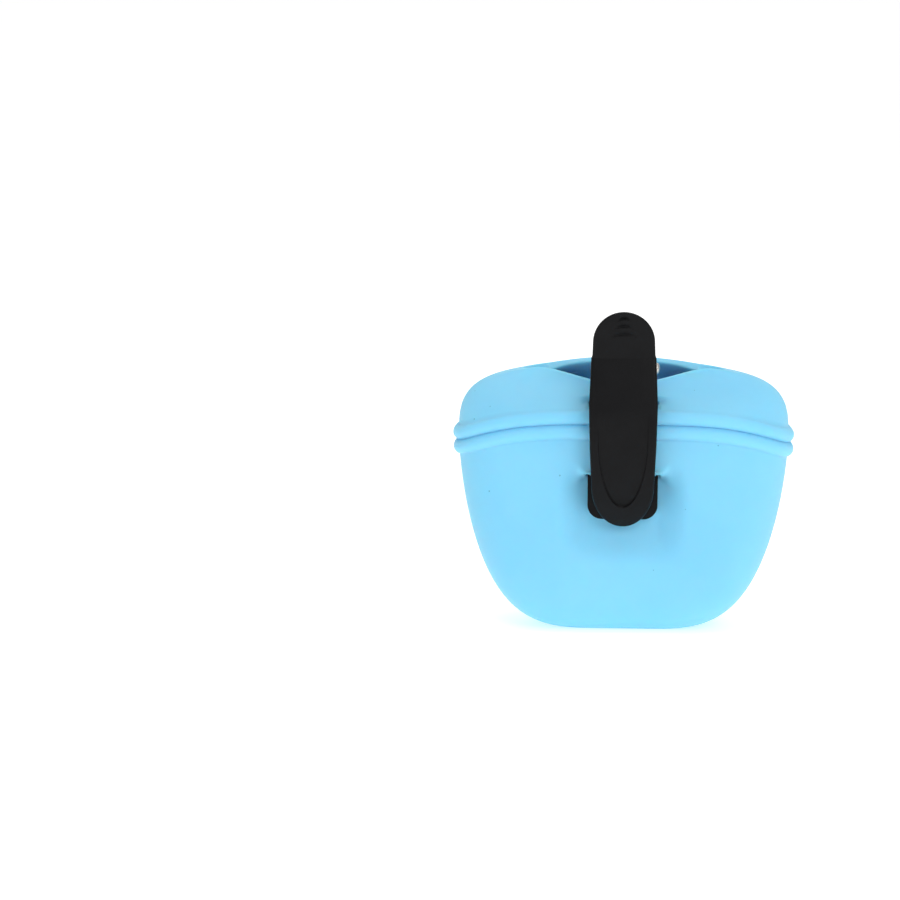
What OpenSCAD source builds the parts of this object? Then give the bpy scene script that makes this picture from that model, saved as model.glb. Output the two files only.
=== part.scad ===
/* [Pouch] */
// Width of the shell at its widest, without the ribs
pouch_width = 128.6; // [124:0.2:134]
// Height of the closed top outline above the base
pouch_height = 103.2; // [102:0.2:105]
// Rise of the front lip's middle above that outline
crest = 0.9; // [0:0.1:1.5]
// Depth of the shell between its flat panels
pouch_depth = 47; // [46.6:0.1:48]
// Thickness of the silicone wall
wall = 2.5; // [2:0.1:2.7]
// Thickness of the two lips
lip_wall = 3.8; // [3.4:0.1:4.2]
// Distance between the two corners of the mouth
mouth_width = 66; // [60:1:70]
// How far the front lip stands in front of the centre plane, inside
front_gape = 15; // [13:0.5:16]
// How far the rear lip stands behind the centre plane, inside
rear_gape = 12; // [11:0.5:12.5]
// Drop of the rear lip's middle below the mouth corners
rear_dip = 4.4; // [3:0.1:5]

/* [Ribs] */
// How far the ribs stand out of the wall
rib_height = 2.2; // [1:0.1:2.4]
// Distance from one rib to the next
rib_pitch = 5.6; // [5:0.1:5.8]
// Rise of the rib line from the sides to the middle of the front
front_rise = 7.5; // [5:0.5:9]
// Rise of the rib line from the sides to the middle of the rear
rear_rise = 9.5; // [9:0.5:10]

/* [Lip joint] */
// Height of the line that the front lip flexes about
flex_z = 40; // [36:1:44]
// Width of the stretch of lip that flexes as one piece
flap_width = 20; // [16:1:22]

/* [Magnets] */
// Diameter of a magnet
magnet_d = 4.4; // [4:0.1:4.6]
// Thickness of a magnet
magnet_t = 1.2; // [1:0.1:1.4]

/* [Clip] */
// Width of the base plate
plate_width = 27; // [25:0.5:28]
// Thickness of the base plate
plate_t = 2.2; // [1.8:0.1:2.2]
// Width of the lever at its widest
lever_width = 26.2; // [25:0.2:27]
// Thickness of the lever
lever_t = 2.4; // [2:0.1:2.6]
// Height of the lever's tab above the base of the pouch
tab_top = 128.2; // [124:0.2:132]
// Diameter of the hinge pin
pin_d = 3; // [2.6:0.1:3.2]
// Wire of the torsion spring
wire_d = 1; // [0.8:0.1:1.1]

/* [Hidden] */
$fn = 48;

half_w = pouch_width / 2;
half_d = pouch_depth / 2;
half_mouth = mouth_width / 2;
floor_z = -0.9;       // lowest point of the rounded bottom before the base is cut flat
widest_z = 76;        // height at which the outline is widest
section = 56;         // points round one ring of the shell
lip_bevel = 1.2;      // bevel along the edge of the lips
corner_half = 4.5;    // half thickness of the welded seam beyond the mouth corners
rim_half = half_mouth + 5.5;

// The ribs' band, measured up the middle of the rear wall
band_low = 77.7;
band_high = band_low + 2 * rib_pitch;

// Slots, measured up the middle of the rear wall
slot_half = plate_width / 2 + 1.3;
upper_slot = [band_high, band_high + 2.4];
lower_slot = [61.3, 63.3];
plate_y = 17.5;       // front face of the clip's base plate
fit_gap = 0.3;        // gap between the plate and the wall in front of it

plate_low = 45.8;
pin_y = 24.6;
pin_z = 105.5;
pin_r = pin_d / 2;
running = 0.06;       // radial clearance of the lever on its pin
crease_z = pin_z + 4.4;
tip_z = 43.4;

function smooth(t) = let (s = max(0, min(1, t))) s * s * (3 - 2 * s);
function mix(a, b, t) = a + (b - a) * t;
function lens(x) = abs(x) < half_mouth ? pow(cos(90 * x / half_mouth), 1.3) : 0;

// Lower outline: half width and half depth at height z, for a shell inset by w
function low_share(z, w) = max(0, min(1, (widest_z - z) / (widest_z - floor_z - w)));
function low_half_w(z, w) = (half_w - w) * pow(1 - pow(low_share(z, w), 1.6), 1 / 4.3);
function low_half_d(z, w) = (half_d - w) * pow(1 - pow(low_share(z, w), 6), 1 / 2.8);

// Upper outline, as a quarter of a superellipse from the widest line to the rim
function top_angle(s) = mix(2.7, 67.3, s);
function top_half_w(s, w) = (half_w - w) * pow(cos(top_angle(s)), 2 / 3.8);
function top_z(s, w) = widest_z + (pouch_height - widest_z - w) * pow(sin(top_angle(s)), 2 / 3.2);

// A ring is [half width, end height, middle height front, rear, half depth front, rear, lip share, rib]
function lift(zm) = smooth((zm - 40) / (band_low - 40));
function low_ring(zm, w, rib) =
  let (e = zm - rear_rise * lift(zm), flat = max(e, floor_z + w))
  [low_half_w(flat, w), flat, flat + front_rise * lift(zm), flat + rear_rise * lift(zm),
   low_half_d(flat, w), low_half_d(flat, w), 0, rib];
function lip_z(rear) = rear ? pouch_height - 0.8 - rear_dip : pouch_height + crest;
function high_ring(s, w) =
  let (
    climb = pow(s, 0.63),
    out = w > 0 ? 0 : lip_wall,
    front_low = band_high - rear_rise + front_rise
  )
  [top_half_w(s, w), top_z(s, 1.3 * w), mix(front_low, lip_z(false), climb),
   mix(band_high, lip_z(true), climb), mix(half_d - w, front_gape + out, climb),
   mix(half_d - w, rear_gape + out, sqrt(climb)), smooth(s), 0];

// Profiles of half a section: across the body, and across the lips
function body_profile(k) = pow(max(0, 1 - pow(abs(k), 7)), 0.5);
function lip_profile(x, k, depth, seam) =
  (seam * pow(max(0, 1 - pow(abs(k), 6)), 0.5) + (depth - seam) * lens(x)) / depth;

// Dents in the rear wall where the base plate passes outside it
function dent_share(x, z) =
  (1 - smooth((abs(x) - slot_half) / 13))
  * max(smooth((z - upper_slot[0]) / 2.4), smooth((z - 35) / 11) * smooth((lower_slot[1] - z) / 2));
function dented(y, x, z, w) =
  y - max(0, y - (plate_y - fit_gap - w)) * dent_share(x, z);

// One point of a ring, at angle a round it, where 0 is the +X end and 90 the middle of the rear
function ring_point(r, a, w) =
  let (
    c = cos(a), rear = sin(a) > 0,
    k = sign(c) * pow(abs(c), 0.75), x = r[0] * k,
    depth = rear ? r[5] : r[4],
    seam = w > 0 ? 0.01 : corner_half,
    y = depth * mix(body_profile(k), lip_profile(x, k, depth, seam), r[6]),
    arch = 1 - pow(k, 4),
    dip = rear ? (r[2] - r[3]) * mix(arch, lens(x), r[6]) : 0,
    z = r[1] + (r[2] - r[1]) * arch - dip,
    flat = abs(sin(a)) < 0.001,
    yy = flat ? 0 : rear ? dented(y, x, z, w) : -y,
    slope = norm([pow(abs(k), 6) * 1.4, 1 - pow(abs(k), 6) + 0.02])
  )
  [x + sign(x) * r[7] * pow(abs(k), 6) * 1.4 / slope,
   yy + (flat ? 0 : sign(yy) * r[7] * (1 - pow(abs(k), 6)) / slope), z];

rib_shape = [0, 0.7, 1, 0.7];
rib_rings = [
  for (n = [0, 1]) for (i = [0:3])
    [band_low + (n + [0, 0.17, 0.5, 0.83][i]) * rib_pitch, rib_height * rib_shape[i]]
];
low_heights = [0.3, 1.8, 4, 7.5, 12, 18, 26, 35, 41, 46, 54, lower_slot[0], lower_slot[1], 70];
high_shares = [0.12, 0.25, 0.4, 0.55, 0.7, 0.85];

outer_rings = concat(
  [low_ring(floor_z + 0.25, 0, 0)],
  [for (z = low_heights) low_ring(z, 0, 0)],
  [for (p = rib_rings) low_ring(p[0], 0, p[1])],
  [low_ring(band_high, 0, 0)],
  [for (s = high_shares) high_ring(s, 0)]
);
inner_rings = concat(
  [low_ring(floor_z + wall + 0.25, wall, 0)],
  [for (z = low_heights) if (z > wall + 1) low_ring(z, wall, 0)],
  [low_ring(band_low, wall, 0), low_ring(band_high, wall, 0)],
  [for (s = high_shares) high_ring(s, wall)]
);
// The lips' edge: outer side, bevelled top, inner side
rim_low = [rim_half, top_z(1, 0) - lip_bevel, lip_z(false) - lip_bevel, lip_z(true) - lip_bevel,
  front_gape + lip_wall, rear_gape + lip_wall, 1, 0];
rim_top = [rim_half - lip_bevel, top_z(1, 0), lip_z(false), lip_z(true),
  front_gape + lip_wall - lip_bevel, rear_gape + lip_wall - lip_bevel, 1, 0];
function rim_z(x) = mix(top_z(1, 0), lip_z(false), 1 - pow(x / rim_half, 4));
mouth_top = [half_mouth + 0.5, rim_z(half_mouth + 0.5), lip_z(false), lip_z(true),
  front_gape + lip_bevel, rear_gape + lip_bevel, 1, 0];
mouth_low = [half_mouth, rim_z(half_mouth) - 1.6, lip_z(false) - lip_bevel, lip_z(true) - lip_bevel,
  front_gape, rear_gape, 1, 0];

angles = [for (i = [0:section - 1]) 360 * i / section];
function loop(r, w) = [for (a = angles) ring_point(r, a, w)];

shell_loops = concat(
  [for (r = outer_rings) loop(r, 0)],
  [loop(rim_low, 0), loop(rim_top, 0), loop(mouth_top, 0.01), loop(mouth_low, 0.01)],
  [for (i = [len(inner_rings) - 1:-1:0]) loop(inner_rings[i], wall)]
);

// A closed skin over a stack of loops, with a fan at each end
module skin(loops) {
  rows = len(loops);
  n = len(loops[0]);
  points = concat(
    [for (l = loops) each l],
    [[0, 0, loops[0][0][2]], [0, 0, loops[rows - 1][0][2]]]
  );
  side = [
    for (j = [0:rows - 2]) for (i = [0:n - 1])
      let (a = j * n + i, b = j * n + (i + 1) % n)
        each [[a, a + n, b], [b, a + n, b + n]]
  ];
  first = [for (i = [0:n - 1]) [i, (i + 1) % n, rows * n]];
  last = [for (i = [0:n - 1]) [(rows - 1) * n + (i + 1) % n, (rows - 1) * n + i, rows * n + 1]];
  polyhedron(points = points, faces = concat(side, first, last), convexity = 10);
}

// A disc's place on the inner face of a lip: [y, z, tilt from facing the mouth]
front_seat = [-17.9, pouch_height - 7.5, 19.2];
rear_seat = [13.9, pouch_height - 8.8, -27];
pocket_depth = 2;
pocket_gap = 0.4;      // gap all round a magnet in its pocket

module at_seat(seat) {
  translate([0, seat[0], seat[1]])
    rotate([seat[2] < 0 ? 90 - seat[2] : -90 - seat[2], 0, 0])
      children();
}

module magnet_pocket(seat) {
  at_seat(seat) translate([0, 0, -pocket_depth]) cylinder(d = magnet_d + 2 * pocket_gap, h = pocket_depth + 3);
}

module magnet(seat) {
  at_seat(seat) translate([0, 0, -pocket_depth]) cylinder(d = magnet_d, h = magnet_t);
}

module slot(range) {
  low = range[0] - 0.2;
  translate([-slot_half, 12, low]) cube([2 * slot_half, 16, range[1] - range[0] + 0.4]);
}

module shell() {
  difference() {
    skin(shell_loops);
    translate([-half_w, -half_d, -10]) cube([pouch_width, pouch_depth, 10]);
  }
}

module flap_zone(side, below) {
  translate([-flap_width / 2 - side, -half_d - 6, flex_z - below])
    cube([flap_width + 2 * side, half_d + 4, pouch_height]);
}

module pouch_body() {
  color("#86dcf3") difference() {
    shell();
    flap_zone(0.3, 0.6);
    slot(upper_slot);
    slot(lower_slot);
    magnet_pocket(rear_seat);
  }
}

module front_lip() {
  color("#86dcf3") difference() {
    intersection() {
      shell();
      flap_zone(0, 0);
    }
    magnet_pocket(front_seat);
  }
}

module front_magnet() {
  color("#9a9a98") magnet(front_seat);
}

module rear_magnet() {
  color("#9a9a98") magnet(rear_seat);
}

// Draws a side view, with its x along the row's y and its y along the row's z, w wide
module from_side(w) {
  rotate([90, 0, 90]) translate([0, 0, -w / 2]) linear_extrude(w) children();
}

module rounded_rect(w, low, high, r) {
  hull() for (x = [-w / 2 + r, w / 2 - r], z = [low + r, high - r]) translate([x, z]) circle(r);
}

// Draws a rear view as a block that reaches from y0 to y1
module from_rear(y0, y1) {
  translate([0, y1, 0]) rotate([90, 0, 0]) linear_extrude(y1 - y0) children();
}

ear_x = 9.2;
ear_t = 1.8;
neck_width = 23.4;
module clip_base() {
  color("#141416") difference() {
    union() {
      from_rear(plate_y, plate_y + plate_t) {
        rounded_rect(plate_width, plate_low, band_high - 2, 5.5);
        rounded_rect(neck_width, 70, 101.5, 5.5);
        rounded_rect(20, 92, 121, 6);
      }
      for (side = [-1, 1]) translate([side * ear_x, 0, 0]) from_side(ear_t) hull() {
        translate([pin_y, pin_z]) circle(3.2);
        translate([plate_y + 0.2, 98]) square([2, 13]);
      }
    }
    translate([-20, pin_y, pin_z]) rotate([0, 90, 0]) cylinder(r = pin_r, h = 40);
  }
}

// Mid line of the lever from its tip up to the crease, bowed outwards, then the leaning tab
lever_foot = [21.4, tip_z];
lever_crease = [28.4, crease_z];
lever_bow = 8;
tab_lean = 15;
arm_steps = 16;
function arm_point(t, off) =
  let (
    along = lever_crease - lever_foot,
    out = [along[1], -along[0]] / norm(along)
  )
  lever_foot + along * t + out * (lever_bow * pow(sin(180 * pow(t, 0.92)), 0.9) + off);

module lever_side() {
  tab = (tab_top - crease_z) * [tan(tab_lean), 1];
  polygon(concat(
    [for (i = [0:arm_steps]) arm_point(i / arm_steps, lever_t / 2)],
    [lever_crease + tab + [lever_t / 2, 0], lever_crease + tab - [lever_t / 2, 0]],
    [for (i = [arm_steps:-1:0]) arm_point(i / arm_steps, -lever_t / 2)]
  ));
}

// Points of an ellipse's arc about (0, z), half width rx and half height rz, from angle a0 to a1
function arc(z, rx, rz, a0, a1, steps) =
  [for (i = [0:steps]) let (a = a0 + (a1 - a0) * i / steps) [rx * cos(a), z + rz * sin(a)]];

// The lever seen from behind: a round end, the widest line, the waist at the crease and the tab
end_h = 17;
end_width = 24;
tab_round = 11;
lever_waist = 23.6;
module lever_front() {
  half = lever_width / 2;
  waist = lever_waist / 2;
  polygon(concat(
    arc(tip_z + end_h, end_width / 2, end_h, -90, 0, 16),
    [[half - 0.4, 76.4], [half, 92], [waist + 0.6, crease_z]],
    arc(tab_top - tab_round, waist, tab_round, 0, 180, 24),
    [[-waist - 0.6, crease_z], [-half, 92], [0.4 - half, 76.4]],
    arc(tip_z + end_h, end_width / 2, end_h, 180, 264.375, 15)
  ));
}

module clip_lever() {
  cheek_x = 11.35;
  cheek_t = 1.8;
  panel_z = 80.8;
  panel_half = 9.7;
  color("#141416") difference() {
    union() {
      intersection() {
        from_side(40) lever_side();
        from_rear(10, 50) lever_front();
      }
      for (side = [-1, 1]) translate([side * cheek_x, 0, 0]) from_side(cheek_t) hull() {
        translate([pin_y, pin_z]) circle(3);
        translate([27.5, 100.5]) square([2, 9]);
      }
    }
    translate([-20, pin_y, pin_z]) rotate([0, 90, 0]) cylinder(r = pin_r + running, h = 40);
    // Shallow panel in the outer face, round at the tip's end
    intersection() {
      translate([0, 1.5, 0]) from_side(40) lever_side();
      from_rear(10, 50) polygon(concat(
        arc(panel_z, panel_half, 8, 0, 172.5, 23),
        arc(panel_z, panel_half, 28.5, 180, 352.5, 23)
      ));
    }
    // Crescent grip lines on the tab
    for (i = [0:2])
      translate([0, 28.4 + lever_t / 2 + (9 + 3.2 * i) * tan(tab_lean), crease_z + 9 + 3.2 * i])
        rotate([0, 90, 0]) cylinder(d = 0.8, h = 10 - 2.2 * i, center = true);
  }
}

module hinge_pin() {
  head_t = 1.2;
  head_x = 12.35;
  color("#b9b7ae") translate([0, pin_y, pin_z]) rotate([0, 90, 0]) {
    translate([0, 0, -head_x - 0.1]) cylinder(r = pin_r, h = 2 * head_x - 0.1);
    translate([0, 0, -head_x - head_t]) cylinder(d = 4.3, h = head_t);
  }
}

// Torsion spring: a coil round the pin, one leg down the base plate, one leg down the lever
turns = 5;
coil_r = 2.5;
coil_pitch = 1.35;
coil_steps = 14;
leg_down = 9;
function coil_point(t) =
  let (a = 360 * turns * t)
  [(t - 0.5) * turns * coil_pitch, pin_y - coil_r * cos(a), pin_z + coil_r * sin(a)];
spring_path = concat(
  [[-turns * coil_pitch / 2, plate_y + plate_t + 0.8, pin_z - leg_down]],
  [for (i = [0:turns * coil_steps + coil_steps / 2]) coil_point(i / (turns * coil_steps))],
  [[(turns / 2 + 0.5) * coil_pitch, pin_y + 5, pin_z - leg_down]]
);

module torsion_spring() {
  sides = 8;
  last = len(spring_path) - 1;
  rings = [
    for (i = [0:last])
      let (
        d = spring_path[min(i + 1, last)] - spring_path[max(i - 1, 0)],
        t = d / norm(d),
        u = cross(t, [1, 0, 0]) / norm(cross(t, [1, 0, 0])),
        v = cross(t, u)
      )
      [for (k = [0:sides - 1])
        spring_path[i] + wire_d / 2 * (cos(360 * k / sides) * u + sin(360 * k / sides) * v)]
  ];
  n = sides;
  side = [
    for (j = [0:last - 1]) for (i = [0:n - 1])
      let (a = j * n + i, b = j * n + (i + 1) % n)
        each [[a, b, a + n], [b, b + n, a + n]]
  ];
  first = [[for (i = [n - 1:-1:0]) i]];
  end = [[for (i = [0:n - 1]) last * n + i]];
  color("#b9b7ae") polyhedron(points = [for (r = rings) each r], faces = concat(side, first, end));
}

pouch_body();
front_lip();
front_magnet();
rear_magnet();
clip_base();
clip_lever();
hinge_pin();
torsion_spring();
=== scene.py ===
"""A silicone treat pouch with a belt clip, seen from behind. Shapes are worked out in millimetres and made in metres."""
import math

import bpy
import numpy as np
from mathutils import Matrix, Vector


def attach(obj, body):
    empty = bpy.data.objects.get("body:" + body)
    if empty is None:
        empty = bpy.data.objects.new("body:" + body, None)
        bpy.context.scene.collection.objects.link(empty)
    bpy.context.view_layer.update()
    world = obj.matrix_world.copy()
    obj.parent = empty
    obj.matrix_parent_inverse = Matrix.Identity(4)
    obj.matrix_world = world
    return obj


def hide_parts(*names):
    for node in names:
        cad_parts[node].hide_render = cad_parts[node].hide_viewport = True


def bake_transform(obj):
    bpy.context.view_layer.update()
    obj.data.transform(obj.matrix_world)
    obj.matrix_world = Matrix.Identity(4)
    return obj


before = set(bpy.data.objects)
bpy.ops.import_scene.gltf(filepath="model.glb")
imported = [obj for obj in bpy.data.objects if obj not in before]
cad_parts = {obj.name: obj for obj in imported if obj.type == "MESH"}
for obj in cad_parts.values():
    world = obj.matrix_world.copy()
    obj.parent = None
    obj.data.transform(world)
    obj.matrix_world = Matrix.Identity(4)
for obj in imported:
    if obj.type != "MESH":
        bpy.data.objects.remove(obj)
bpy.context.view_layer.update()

MM = 0.001

# ---- Driving dimensions, as in the CAD model ----
POUCH_HALF_W = 64.3
POUCH_HALF_D = 23.5
POUCH_TOP = 103.2
FLOOR = -0.9            # lowest point of the rounded bottom before the base is flat
WIDEST = 76.0
WALL = 2.5
LIP_WALL = 3.8
CORNER_WALL = 4.3       # wall at the mouth's corners, which nearly meet
CORNER_HALF = 4.5       # half thickness of the seam beyond the corners
MOUTH_HALF = 33.0
FRONT_GAPE = 15.0
REAR_GAPE = 12.0
REAR_DIP = 4.4
CREST = 0.9             # rise of the front lip's middle above the top outline
RIB_HEIGHT = 2.2
RIB_PITCH = 5.6
FRONT_RISE = 7.5
REAR_RISE = 9.5
BAND_LOW = 77.7
BAND_HIGH = BAND_LOW + 2 * RIB_PITCH
SLOT_HALF = 14.0
UPPER_SLOT = (BAND_HIGH + 0.95, BAND_HIGH + 2.2)
LOWER_SLOT = (62.4, 63.8)
PLATE_FRONT = 17.5      # front face of the clip's base plate
PLATE_CLEAR = 17.2      # the wall's outer face where the plate passes outside it
FLEX_Y, FLEX_Z = -22.2, 40.0


def smooth(t):
    t = np.clip(t, 0.0, 1.0)
    return t * t * (3 - 2 * t)


def mix(a, b, t):
    return a + (b - a) * t


# ---- Meshes ----
def mesh_object(name, points_mm, faces, shade=True):
    mesh = bpy.data.meshes.new(name)
    mesh.from_pydata([tuple(p) for p in np.asarray(points_mm, float) * MM], [], faces)
    mesh.validate()
    mesh.update()
    if shade:
        mesh.polygons.foreach_set("use_smooth", [True] * len(mesh.polygons))
    obj = bpy.data.objects.new(name, mesh)
    bpy.context.scene.collection.objects.link(obj)
    return obj


def loft(loops, first=0):
    """Points and faces of a closed skin over a stack of equal loops, with a fan at each end."""
    rows, n = len(loops), len(loops[0])
    points = np.concatenate([np.concatenate(loops), [np.mean(loops[0], 0), np.mean(loops[-1], 0)]])
    faces = []
    for j in range(rows - 1):
        for i in range(n):
            a, b = first + j * n + i, first + j * n + (i + 1) % n
            faces.append((a, b, b + n, a + n))
    for i in range(n):
        k = (i + 1) % n
        faces.append((first + k, first + i, first + rows * n))
        faces.append((first + (rows - 1) * n + i, first + (rows - 1) * n + k, first + rows * n + 1))
    return points, faces


# ---- Silicone pouch ----
def lens(x):
    return np.where(np.abs(x) < MOUTH_HALF, np.abs(np.cos(np.pi / 2 * x / MOUTH_HALF)) ** 1.3, 0.0)


def low_ring(zm, rib=0.0):
    """A ring of the body whose rear middle is at height zm."""
    lift = float(smooth((zm - 40) / (BAND_LOW - 40)))
    end = zm - REAR_RISE * lift
    share = min(1.0, max(0.0, (WIDEST - end) / (WIDEST - FLOOR)))
    half_w = POUCH_HALF_W * max(1e-9, 1 - share**1.6) ** (1 / 4.3)
    half_d = POUCH_HALF_D * max(1e-9, 1 - share**6) ** (1 / 2.8)
    return (half_w, end, end + FRONT_RISE * lift, end + REAR_RISE * lift, half_d, half_d, 0.0, rib, 0.0)


def high_ring(s):
    """A ring above the ribs, from the ribs' top at s 0 to the lips' edge at s 1."""
    angle = math.radians(mix(2.7, 67.3, s))
    climb = s**0.63
    half_w = POUCH_HALF_W * math.cos(angle) ** (2 / 3.8)
    end = WIDEST + (POUCH_TOP - WIDEST) * math.sin(angle) ** (2 / 3.2)
    front = mix(BAND_HIGH - REAR_RISE + FRONT_RISE, POUCH_TOP + CREST, climb)
    rear = mix(BAND_HIGH, POUCH_TOP - 0.8 - REAR_DIP, climb)
    front_d = mix(POUCH_HALF_D, FRONT_GAPE + LIP_WALL, climb)
    rear_d = mix(POUCH_HALF_D, REAR_GAPE + LIP_WALL, 1 - (1 - climb) ** 1.7)
    return (half_w, end, front, rear, front_d, rear_d, float(smooth(s)), 0.0, climb)


def dent_share(x, z):
    """How far the rear wall is pushed in: fully where the base plate passes outside it, and softly beside that."""
    beside = smooth((np.abs(x) - SLOT_HALF) / 5)
    soft = 1 + 8 * beside
    upper = smooth(0.5 + (z - sum(UPPER_SLOT) / 2) / (1.3 * soft))
    lower = smooth(0.5 + (sum(LOWER_SLOT) / 2 - z) / (1.4 * soft)) * smooth((z - 28) / 18)
    return (1 - smooth((np.abs(x) - SLOT_HALF + 1.0) / 13)) * np.maximum(upper, lower)


SLOT_COLS = (16, 17)    # columns from the middle of the rear wall to the end of the upper and the lower slot
COLUMN = 0.822          # distance between the evenly spaced columns
EVEN_COLS = 22          # columns that are evenly spaced, on each side of the middle
HALF_COLS = 76          # columns from the middle to the +X or -X end


def column_x(half_w):
    """x of each column of one half, from the +X end to the -X end, which is left out."""
    even = min(COLUMN * EVEN_COLS, 0.45 * half_w)
    i = np.abs(np.arange(HALF_COLS, -HALF_COLS, -1))
    t = np.clip((i - EVEN_COLS) / (HALF_COLS - EVEN_COLS), 0, 1)
    x = np.where(i <= EVEN_COLS, even * i / EVEN_COLS, even + (half_w - even) * (1 - (1 - t) ** 2))
    return x * np.sign(np.arange(HALF_COLS, -HALF_COLS, -1))


def ring_points(ring):
    half_w, end, front, rear, front_d, rear_d, lip, rib, climb = ring
    out = []
    for side, mid, depth in ((1, rear, rear_d), (-1, front, front_d)):
        x = column_x(half_w) * side
        k = np.abs(x) / half_w
        body = np.sqrt(np.clip(1 - k**7, 0, 1))
        seam = min(CORNER_HALF, depth)
        lips = (seam * np.sqrt(np.clip(1 - k**6, 0, 1)) + (depth - seam) * lens(x)) / depth
        y = depth * mix(body, lips, lip)
        arch = 1 - k**4
        z = end + (front - end) * arch - (front - mid) * mix(arch, lens(x), lip)
        if side > 0:
            y = y - np.maximum(0, y - PLATE_CLEAR) * dent_share(x, z)
            for slot in (UPPER_SLOT, LOWER_SLOT):
                far = np.hypot((np.abs(x) - SLOT_HALF - 1.6) / 2.4, (z - sum(slot) / 2 - 0.8) / 2.4)
                y = y + 0.5 * np.exp(-far**2)
        out.append(np.stack([x, side * y, np.maximum(z, 0)], 1))
    return np.concatenate(out)


def slot_share(z):
    """The share of a ring above the ribs whose rear middle is at height z."""
    return ((z - BAND_HIGH) / (POUCH_TOP - 0.8 - REAR_DIP - BAND_HIGH)) ** (1 / 0.63)


def pouch_rings():
    """Rings from the lips' edge down to the base, and the rows that bound the two slots."""
    rings = [high_ring(1.0)] + [high_ring(s) for s in np.linspace(0.88, 0.18, 38)]
    rings.append(high_ring(slot_share(UPPER_SLOT[1])))
    upper = [len(rings) - 1]
    rings.append(high_ring(slot_share(sum(UPPER_SLOT) / 2)))
    rings.append(high_ring(slot_share(UPPER_SLOT[0])))
    upper.append(len(rings) - 1)
    per_rib = 16
    for rib in (1, 0):
        for i in range(per_rib, 0, -1):
            t = mix(i / per_rib, 0.5 - 0.5 * math.cos(math.pi * i / per_rib), 0.6)
            swell = (4 * t * (1 - t)) ** 0.65 if i < per_rib else 0.0
            rings.append(low_ring(BAND_LOW + (rib + t) * RIB_PITCH, swell))
    rings.append(low_ring(BAND_LOW))
    rings += [low_ring(z) for z in np.linspace(BAND_LOW, LOWER_SLOT[1], 17)[1:]]
    lower = [len(rings) - 1]
    rings += [low_ring(z) for z in np.linspace(LOWER_SLOT[1], LOWER_SLOT[0], 4)[1:]]
    lower.append(len(rings) - 1)
    steps = 72
    span = LOWER_SLOT[0] - FLOOR
    rings += [low_ring(FLOOR + span * (1 - i / steps) ** 1.7) for i in range(1, steps)]
    return rings, (upper, lower)


def make_pouch():
    rings, slots = pouch_rings()
    n = 4 * HALF_COLS
    rows = [ring_points(r) for r in rings]
    points = np.concatenate(rows + [[(0, 0, 0)]])
    cut = {
        (j, i)
        for (top, bottom), reach in zip(slots, SLOT_COLS)
        for j in range(top, bottom)
        for i in range(HALF_COLS - reach, HALF_COLS + reach)
    }
    faces = []
    for j in range(len(rows) - 1):
        for i in range(n):
            if (j, i) not in cut:
                k = (i + 1) % n
                faces.append((j * n + i, j * n + k, (j + 1) * n + k, (j + 1) * n + i)[::-1])
    last = (len(rows) - 1) * n
    faces += [(last + i, last + (i + 1) % n, len(points) - 1)[::-1] for i in range(n)]
    pouch = mesh_object("pouch_skin", points, faces)

    ribs = pouch.vertex_groups.new(name="ribs")
    walls = pouch.vertex_groups.new(name="wall")
    for j, ring in enumerate(rings):
        x = rows[j][:, 0]
        corner = smooth((np.abs(x) - 24) / 8) * ring[8]
        wall = mix(mix(WALL, LIP_WALL, ring[8]), CORNER_WALL, corner)
        for i in range(n):
            walls.add([j * n + i], float(wall[i]) / CORNER_WALL, "REPLACE")
        if ring[7] > 0:
            ribs.add(list(range(j * n, j * n + n)), ring[7], "REPLACE")
    walls.add([len(points) - 1], WALL / CORNER_WALL, "REPLACE")

    # The sheet is the outer face; the wall grows inwards from it, and only the outer face gets the ribs
    pouch.vertex_groups.new(name="inner")
    shell = pouch.modifiers.new("wall", "SOLIDIFY")
    shell.thickness = CORNER_WALL * MM
    shell.offset = -1.0
    shell.vertex_group = "wall"
    shell.shell_vertex_group = "inner"
    edge = pouch.modifiers.new("edges", "BEVEL")
    edge.width = 0.8 * MM
    edge.segments = 4
    edge.limit_method = "ANGLE"
    edge.angle_limit = math.radians(68)
    edge.use_clamp_overlap = False
    outer = pouch.modifiers.new("outer_only", "VERTEX_WEIGHT_MIX")
    outer.vertex_group_a = "ribs"
    outer.vertex_group_b = "inner"
    outer.mix_mode = "SUB"
    outer.mix_set = "AND"
    swell = pouch.modifiers.new("ribs", "DISPLACE")
    swell.strength = RIB_HEIGHT * MM
    swell.mid_level = 0.0
    swell.direction = "NORMAL"
    swell.vertex_group = "ribs"
    return pouch


# ---- Magnet pockets ----
FRONT_SEAT = (-17.9, POUCH_TOP - 7.5, 19.2)     # y, z, and degrees below facing the mouth squarely
REAR_SEAT = (13.9, POUCH_TOP - 8.8, 27.0)
POCKET_R, POCKET_DEPTH = 2.6, 2.0


def pocket(name, seat, body):
    """Cuts a pocket with a rounded rim into a lip's inner face; the cutter is hidden and rides with the lip."""
    y, z, tilt = seat
    side = -np.sign(y)
    axis = np.array([0, side * math.cos(math.radians(tilt)), -math.sin(math.radians(tilt))])
    sideways = np.array([1.0, 0, 0])
    up = np.cross(axis, sideways)
    angle = np.linspace(0, 2 * np.pi, 48, endpoint=False)[:, None]
    loops = []
    for height, widen in ((-POCKET_DEPTH, 0), (-0.35, 0), (-0.1, 0.05), (0.1, 0.16), (0.28, 0.36), (0.5, 0.7), (2.6, 0.7)):
        radius = POCKET_R + widen
        loops.append((0, y, z) + height * axis + radius * (np.cos(angle) * sideways + np.sin(angle) * up))
    points, faces = loft(loops)
    cutter = mesh_object(name, points, faces)
    fix_normals(cutter)
    cutter.hide_render = True
    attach(cutter, body)
    cut = pouch.modifiers.new(name, "BOOLEAN")
    cut.operation = "DIFFERENCE"
    cut.solver = "MANIFOLD"
    cut.object = cutter


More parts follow.
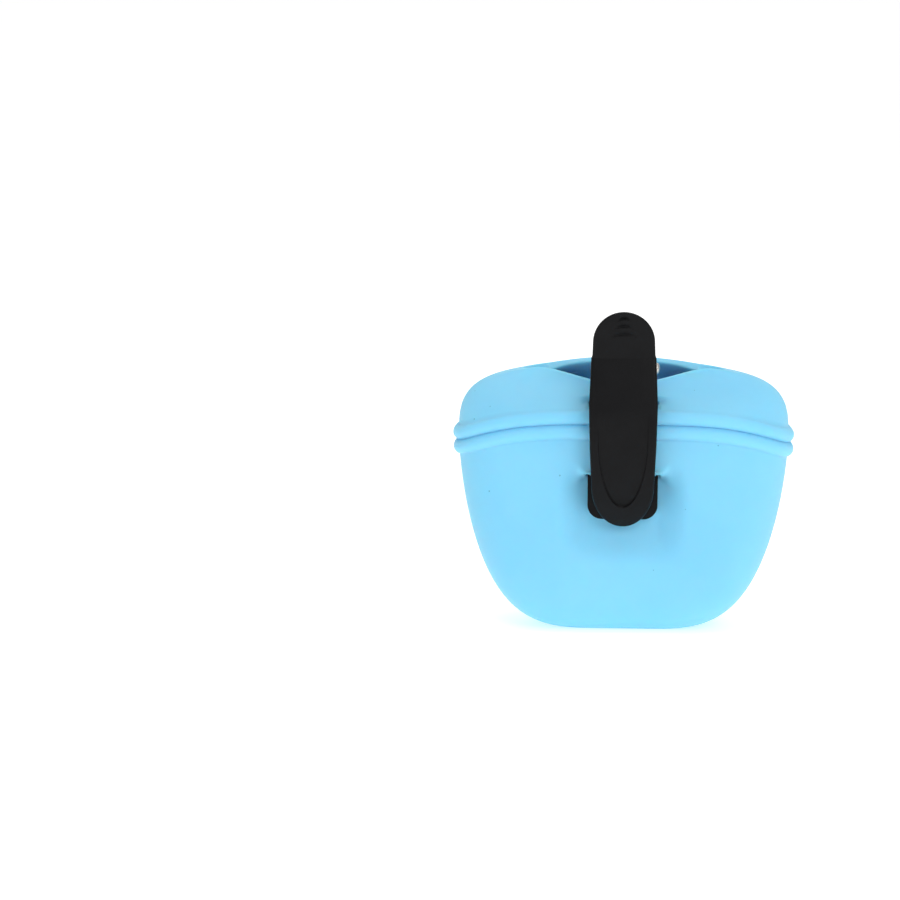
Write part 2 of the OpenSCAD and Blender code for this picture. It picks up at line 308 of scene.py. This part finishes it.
# ---- Clip lever ----
TIP_Z = 43.4
TAB_TOP = 128.2
PIN_Y, PIN_Z = 24.6, 105.5
CREASE_Z = PIN_Z + 4.4
LEVER_T = 2.4
LEVER_HALF = 13.1
LEVER_WAIST = 11.8
LEVER_END_HALF = 12.0       # where the round end begins
LEVER_BOW = 8.0
LEVER_FOOT = np.array([21.4, TIP_Z])
LEVER_CREASE = np.array([28.4, CREASE_Z])
TAB_LEAN = math.radians(15)
TAB_ROUND = 12.0
END_H = 17.0
WIDTHS = (
    (TIP_Z + END_H, LEVER_END_HALF), (76.4, LEVER_HALF - 0.4), (92.0, LEVER_HALF),
    (CREASE_Z, LEVER_WAIST + 0.6), (CREASE_Z + 1.2, LEVER_WAIST + 0.2), (TAB_TOP - TAB_ROUND, LEVER_WAIST),
)
PANEL_Z, PANEL_DOWN, PANEL_HALF_W = 80.8, 28.9, 9.7


def lever_middle():
    """The lever's mid line as (y, z), finely and evenly spaced."""
    along = LEVER_CREASE - LEVER_FOOT
    out = np.array([along[1], -along[0]]) / np.linalg.norm(along)
    t = np.linspace(0, 1, 200)[:, None]
    arm = LEVER_FOOT + along * t + out * LEVER_BOW * np.sin(np.pi * t**0.92) ** 0.9
    arm[-1] = LEVER_CREASE
    top = LEVER_CREASE + (TAB_TOP - CREASE_Z) * np.array([math.tan(TAB_LEAN), 1])
    line = np.concatenate([arm, [top]])
    length = np.concatenate([[0], np.cumsum(np.linalg.norm(np.diff(line, axis=0), axis=1))])
    return line, length


def lever_half_width(z):
    if z < TIP_Z + END_H:
        return LEVER_END_HALF * math.sqrt(max(0, 1 - ((TIP_Z + END_H - z) / END_H) ** 2))
    if z < TAB_TOP - TAB_ROUND:
        return float(np.interp(z, [w[0] for w in WIDTHS], [w[1] for w in WIDTHS]))
    return LEVER_WAIST * math.sqrt(max(0, 1 - ((z - TAB_TOP + TAB_ROUND) / TAB_ROUND) ** 2))


def rounded_section(half_w, thick, radius, across=110, corner=6):
    """A rounded rectangle as (x, n) points, starting at the outer face's -x end."""
    half_t = thick / 2
    r = min(radius, half_w * 0.98, half_t * 0.98)
    points = [(x, half_t) for x in np.linspace(-(half_w - r), half_w - r, across)]
    for cx, cn, a0 in ((half_w - r, half_t - r, 90), (half_w - r, r - half_t, 0)):
        points += [
            (cx + r * math.cos(math.radians(a0 - 90 * i / corner)), cn + r * math.sin(math.radians(a0 - 90 * i / corner)))
            for i in range(1, corner + 1)
        ]
    points += [(x, -half_t) for x in np.linspace(half_w - r, -(half_w - r), across)[1:]]
    for cx, cn, a0 in ((r - half_w, r - half_t, 270), (r - half_w, half_t - r, 180)):
        points += [
            (cx + r * math.cos(math.radians(a0 - 90 * i / corner)), cn + r * math.sin(math.radians(a0 - 90 * i / corner)))
            for i in range(1, corner + 1)
        ]
    return np.array(points[:-1])


GRIP_LINES = ((125.3, 2.9), (122.3, 4.0), (119.1, 5.4))     # height and half length of each crescent


def lever_relief(x, z):
    """How deep the outer face is cut: the long panel, deeper towards the tip, and the crescents on the tab."""
    low = np.clip(PANEL_Z - z, 0, None) / PANEL_DOWN
    reach = np.sqrt((x / PANEL_HALF_W) ** 2 + low**2) + 1e-6
    edge = (1 - reach) * reach / np.hypot(x / PANEL_HALF_W**2, low / PANEL_DOWN + 1e-6)
    dish = 0.5 * np.clip(1 - (x / PANEL_HALF_W) ** 2 - low**2, 0, 1)
    fade = smooth((91 - z) / 14)
    cut = smooth(edge / 0.4) * (mix(1.15, 0.7, smooth((z - 52) / 26)) + dish) * fade
    for height, half in GRIP_LINES:
        bend = z - (height - 0.9 * (x / half) ** 2)
        taper = np.clip(1 - (x / half) ** 2, 0, 1)
        cut = cut + 0.85 * taper * smooth((bend + 0.15) / 0.3) * smooth((2.4 - bend) / 2.4)
    return cut


def make_lever():
    line, length = lever_middle()
    # Rows crowd towards both round ends
    z_low, z_high = TIP_Z, TAB_TOP
    turn = np.linspace(0, math.pi / 2, 70)[1:]
    rows_z = np.concatenate([
        z_low + END_H * (1 - np.cos(turn)),
        np.arange(z_low + END_H + 0.25, z_high - TAB_ROUND, 0.25),
        z_high - TAB_ROUND + TAB_ROUND * np.sin(np.linspace(0, math.pi / 2, 60)[:-1]),
    ])
    at = np.interp(rows_z, line[:, 1], length)
    y = np.interp(at, length, line[:, 0])
    z = np.interp(at, length, line[:, 1])
    loops = []
    for j in range(len(rows_z)):
        half = lever_half_width(z[j])
        thick = LEVER_T * min(1.0, math.sqrt(half / 3.0))
        section = rounded_section(half, thick, 1.0)
        x, n = section[:, 0], section[:, 1]
        outer = (n > thick / 2 - 1e-6).astype(float)
        crown = 0.35 * (half / LEVER_HALF) ** 2 * (1 - (x / half) ** 2)
        n = n + (crown - lever_relief(x, np.full_like(x, z[j]))) * outer
        loops.append(np.stack([x, y[j] + n, np.full_like(x, z[j])], 1))
    points, faces = loft(loops)
    for side in (-1, 1):
        cheek, cheek_faces = cheek_loft(side, len(points))
        points = np.concatenate([points, cheek])
        faces += cheek_faces
    lever = mesh_object("lever_shell", points, [f[::-1] for f in faces])
    fix_normals(lever)
    return lever


def cheek_loft(side, first):
    """A lug on the lever's inner face, with a round end on the pin."""
    outline = [(PIN_Y + 3 * math.cos(a), PIN_Z + 3 * math.sin(a)) for a in np.linspace(math.radians(100), math.radians(262), 20)]
    outline += [(28.0, 99.4), (29.6, 99.6), (29.0, 109.6), (27.6, 109.8)]
    outline = np.array(outline)
    middle = outline.mean(0)
    loops = []
    for x, inset in ((10.45, 0.3), (10.6, 0.08), (10.8, 0.0), (11.9, 0.0), (12.1, 0.08), (12.22, 0.3)):
        ring = middle + (outline - middle) * (1 - inset / 5)
        loops.append(np.stack([np.full(len(ring), side * x), ring[:, 0], ring[:, 1]], 1))
    return loft(loops, first)


def fix_normals(obj):
    import bmesh

    work = bmesh.new()
    work.from_mesh(obj.data)
    bmesh.ops.recalc_face_normals(work, faces=work.faces)
    work.to_mesh(obj.data)
    work.free()


# ---- Round steel parts ----
def lathe_x(name, profile, centre, segments=48):
    """Turns (x, radius) points about an axis along X through centre."""
    angle = np.linspace(0, 2 * np.pi, segments, endpoint=False)
    loops = [
        np.stack([np.full(segments, x), centre[0] + r * np.cos(angle), centre[1] + r * np.sin(angle)], 1)
        for x, r in profile
    ]
    points, faces = loft(loops)
    obj = mesh_object(name, points, faces)
    fix_normals(obj)
    return obj


def make_pin():
    head, body, end = -12.35, 1.5, 12.15
    profile = [(head - 1.2, 0.6), (head - 1.15, 1.2), (head - 0.95, 1.75), (head - 0.6, 2.08), (head - 0.25, 2.15),
               (head, 2.15), (head, body), (end - 0.35, body), (end - 0.1, body - 0.1), (end, body - 0.35)]
    return lathe_x("pin_turned", profile, (PIN_Y, PIN_Z))


# ---- Torsion spring ----
WIRE = 1.0
TURNS, COIL_R, COIL_PITCH = 5, 2.5, 1.35
LEG_DOWN = 9.0


def tube(path, radius, sides=14):
    """A round wire along a path, its frame carried from point to point, with round ends."""
    path = np.asarray(path, float)
    tangent = np.gradient(path, axis=0)
    tangent /= np.linalg.norm(tangent, axis=1)[:, None]
    u = np.cross(tangent[0], [0.3, 0.9, 0.2])
    loops = []
    for p, t in zip(path, tangent):
        u = u - t * (u @ t)
        u /= np.linalg.norm(u)
        v = np.cross(t, u)
        a = np.linspace(0, 2 * np.pi, sides, endpoint=False)[:, None]
        loops.append(p + radius * (np.cos(a) * u + np.sin(a) * v))
    return loft(loops)


def make_spring():
    a = np.linspace(0, 2 * np.pi * (TURNS + 0.5), 400)
    t = a / (2 * np.pi * TURNS)
    coil = np.stack([(t - 0.5) * TURNS * COIL_PITCH, PIN_Y - COIL_R * np.cos(a), PIN_Z + COIL_R * np.sin(a)], 1)
    still = np.array([-TURNS * COIL_PITCH / 2, PLATE_FRONT + 2.2 + 0.8, PIN_Z - LEG_DOWN])
    moving = np.array([(TURNS / 2 + 0.5) * COIL_PITCH, PIN_Y + 5, PIN_Z - LEG_DOWN])
    leg = np.linspace(0, 1, 30)[:, None]
    path = np.concatenate([mix(still, coil[0], leg)[:-1], coil, mix(coil[-1], moving, leg)[1:]])
    points, faces = tube(path, WIRE / 2)
    spring = mesh_object("spring_wire", points, faces)
    fix_normals(spring)
    return spring


# ---- Materials ----
def principled(name):
    material = bpy.data.materials.new(name)
    material.use_nodes = True
    shader = material.node_tree.nodes["Principled BSDF"]
    return material, material.node_tree, shader


def add(tree, kind, **values):
    node = tree.nodes.new(kind)
    for key, value in values.items():
        if key in node.inputs:
            node.inputs[key].default_value = value
        else:
            setattr(node, key, value)
    return node


def object_coords(tree):
    return add(tree, "ShaderNodeTexCoord").outputs["Object"]


def ramp(tree, source, low, high, a, b):
    """A colour ramp from a below low to b above high."""
    node = add(tree, "ShaderNodeValToRGB")
    node.color_ramp.elements[0].position, node.color_ramp.elements[0].color = low, (*a, 1)
    node.color_ramp.elements[1].position, node.color_ramp.elements[1].color = high, (*b, 1)
    tree.links.new(source, node.inputs["Fac"])
    return node.outputs["Color"]


def noise(tree, coords, scale, detail=3.0, roughness=0.5):
    node = add(tree, "ShaderNodeTexNoise", Scale=scale, Detail=detail, Roughness=roughness)
    tree.links.new(coords, node.inputs["Vector"])
    return node.outputs["Fac"]


def bump(tree, shader, height, distance, strength=1.0, before=None):
    node = add(tree, "ShaderNodeBump", Distance=distance, Strength=strength)
    tree.links.new(height, node.inputs["Height"])
    if before is not None:
        tree.links.new(before, node.inputs["Normal"])
    tree.links.new(node.outputs["Normal"], shader.inputs["Normal"])
    return node.outputs["Normal"]


def silicone():
    material, tree, shader = principled("silicone")
    coords = object_coords(tree)
    base, pale, dust = (0.235, 0.625, 0.87), (0.255, 0.65, 0.89), (0.055, 0.24, 0.35)
    cloud = ramp(tree, noise(tree, coords, 26.0, 4.0), 0.35, 0.65, base, pale)
    # Rare dark specks, each a tiny round spot in a cell of its own
    cells = add(tree, "ShaderNodeTexVoronoi", Scale=330.0, Randomness=1.0)
    tree.links.new(coords, cells.inputs["Vector"])
    spot = add(tree, "ShaderNodeMath", operation="LESS_THAN")
    spot.inputs[1].default_value = 0.11
    tree.links.new(cells.outputs["Distance"], spot.inputs[0])
    split = add(tree, "ShaderNodeSeparateColor")
    tree.links.new(cells.outputs["Color"], split.inputs["Color"])
    chosen = add(tree, "ShaderNodeMath", operation="GREATER_THAN")
    chosen.inputs[1].default_value = 0.965
    tree.links.new(split.outputs["Red"], chosen.inputs[0])
    both = add(tree, "ShaderNodeMath", operation="MULTIPLY")
    tree.links.new(spot.outputs[0], both.inputs[0])
    tree.links.new(chosen.outputs[0], both.inputs[1])
    soft = add(tree, "ShaderNodeMath", operation="MULTIPLY")
    soft.inputs[1].default_value = 0.55
    tree.links.new(both.outputs[0], soft.inputs[0])
    paint = add(tree, "ShaderNodeMix", data_type="RGBA")
    paint.inputs["B"].default_value = (*dust, 1)
    tree.links.new(soft.outputs[0], paint.inputs["Factor"])
    tree.links.new(cloud, paint.inputs["A"])
    tree.links.new(paint.outputs["Result"], shader.inputs["Base Color"])
    rough = ramp(tree, noise(tree, coords, 140.0, 5.0), 0.3, 0.7, (0.5,) * 3, (0.6,) * 3)
    tree.links.new(rough, shader.inputs["Roughness"])
    fine = bump(tree, shader, noise(tree, coords, 2600.0, 2.0), 0.00003, 0.6)
    bump(tree, shader, noise(tree, coords, 60.0, 3.0), 0.0002, 0.25, fine)
    shader.inputs["Specular IOR Level"].default_value = 0.2
    shader.inputs["Subsurface Weight"].default_value = 0.7
    shader.inputs["Subsurface Radius"].default_value = (0.25, 0.9, 1.0)
    shader.inputs["Subsurface Scale"].default_value = 0.003
    return material


def black_plastic():
    material, tree, shader = principled("black_plastic")
    coords = object_coords(tree)
    colour = ramp(tree, noise(tree, coords, 90.0, 4.0), 0.3, 0.7, (0.002, 0.0021, 0.0027), (0.0034, 0.0035, 0.0042))
    tree.links.new(colour, shader.inputs["Base Color"])
    rough = ramp(tree, noise(tree, coords, 700.0, 4.0), 0.3, 0.7, (0.34,) * 3, (0.48,) * 3)
    tree.links.new(rough, shader.inputs["Roughness"])
    bump(tree, shader, noise(tree, coords, 1900.0, 3.0, 0.6), 0.00006, 0.7)
    shader.inputs["Specular IOR Level"].default_value = 0.13
    return material


def steel(name, colour, grain_scale, low, high):
    material, tree, shader = principled(name)
    coords = object_coords(tree)
    stretch = add(tree, "ShaderNodeMapping")
    stretch.inputs["Scale"].default_value = grain_scale
    tree.links.new(coords, stretch.inputs["Vector"])
    grain = noise(tree, stretch.outputs["Vector"], 900.0, 4.0)
    dark = tuple(c * 0.82 for c in colour)
    tree.links.new(ramp(tree, grain, 0.35, 0.65, dark, colour), shader.inputs["Base Color"])
    tree.links.new(ramp(tree, grain, 0.3, 0.7, (low,) * 3, (high,) * 3), shader.inputs["Roughness"])
    bump(tree, shader, grain, 0.00002, 0.5)
    shader.inputs["Metallic"].default_value = 1.0
    return material


def dress(obj, material):
    obj.data.materials.clear()
    obj.data.materials.append(material)


def soften(node_name, width_mm, segments=3):
    """Rounds the edges of a CAD node that is shown as it is."""
    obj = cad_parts[node_name]
    edge = obj.modifiers.new("edges", "BEVEL")
    edge.width = width_mm * MM
    edge.segments = segments
    edge.limit_method = "ANGLE"
    edge.angle_limit = math.radians(40)
    edge.harden_normals = True
    return obj


# ---- Pieces ----
silicone_mat = silicone()
plastic_mat = black_plastic()
steel_mat = steel("steel", (0.62, 0.60, 0.56), (0.4, 1.0, 1.0), 0.24, 0.4)
magnet_mat = steel("magnet", (0.50, 0.49, 0.475), (1.0, 1.0, 1.0), 0.3, 0.45)

pouch = make_pouch()
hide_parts("pouch_body", "front_lip")
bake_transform(pouch)
dress(pouch, silicone_mat)
pocket("front_pocket", FRONT_SEAT, "lip")
pocket("rear_pocket", REAR_SEAT, "pouch")

lever = make_lever()
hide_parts("clip_lever")
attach(lever, "lever")
dress(lever, plastic_mat)

base = soften("clip_base", 0.5)
dress(base, plastic_mat)

pin = make_pin()
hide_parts("hinge_pin")
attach(pin, "pouch")
dress(pin, steel_mat)

spring = make_spring()
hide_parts("torsion_spring")
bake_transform(spring)
dress(spring, steel_mat)

for name in ("front_magnet", "rear_magnet"):
    dress(soften(name, 0.15), magnet_mat)


# ---- Floor, light and camera ----
def make_floor():
    size = 40.0
    mesh = bpy.data.meshes.new("floor")
    mesh.from_pydata([(-size, -size, 0), (size, -size, 0), (size, size, 0), (-size, size, 0)], [], [(0, 1, 2, 3)])
    floor = bpy.data.objects.new("floor", mesh)
    bpy.context.scene.collection.objects.link(floor)
    material, tree, shader = principled("floor")
    shader.inputs["Base Color"].default_value = (0.93, 0.93, 0.93, 1)
    shader.inputs["Roughness"].default_value = 0.9
    shader.inputs["Specular IOR Level"].default_value = 0.1
    shader.inputs["Emission Color"].default_value = (1, 1, 1, 1)
    shader.inputs["Emission Strength"].default_value = 0.46
    mesh.materials.append(material)
    return floor


def area_light(name, place, aim, size, power):
    light = bpy.data.lights.new(name, "AREA")
    light.shape = "RECTANGLE"
    light.size, light.size_y = size
    light.energy = power
    obj = bpy.data.objects.new(name, light)
    bpy.context.scene.collection.objects.link(obj)
    obj.location = place
    obj.rotation_euler = (Vector(aim) - Vector(place)).to_track_quat("-Z", "Y").to_euler()
    obj.visible_camera = False
    return obj


make_floor()
middle = (0, 0, 0.06)
area_light("key", (-0.6, 1.25, 0.85), middle, (0.7, 0.7), 6.0)
area_light("fill", (0.6, 1.3, 0.6), middle, (0.9, 0.9), 0.9)
area_light("top", (0, 0.2, 1.6), middle, (1.2, 1.2), 6.5)
area_light("front", (0, -1.6, 0.9), middle, (1.2, 1.0), 4.0)

world = bpy.data.worlds.new("studio")
world.use_nodes = True
world.node_tree.nodes["Background"].inputs["Color"].default_value = (1, 1, 1, 1)
world.node_tree.nodes["Background"].inputs["Strength"].default_value = 0.585
bpy.context.scene.world = world
bpy.context.scene.view_settings.view_transform = "Standard"

SCALE_MM = 0.392            # millimetres across one of the frame's 900 columns, at the pouch
DISTANCE = 1.2
ELEVATION = math.radians(10)
OFFSET_X = 173 * SCALE_MM * MM      # the pouch stands right of the view's centre
AIM_Z = 0.0688
camera_data = bpy.data.cameras.new("camera")
camera = bpy.data.objects.new("camera", camera_data)
bpy.context.scene.collection.objects.link(camera)
camera_data.sensor_width = 36.0
camera_data.lens = 36.0 * DISTANCE / (900 * SCALE_MM * MM)
camera.location = (0, DISTANCE * math.cos(ELEVATION), AIM_Z + DISTANCE * math.sin(ELEVATION))
target = Vector((OFFSET_X, 0, AIM_Z))
camera.rotation_euler = (target - camera.location).to_track_quat("-Z", "Y").to_euler()
camera_data.clip_start, camera_data.clip_end = 0.01, 200.0
bpy.context.scene.camera = camera
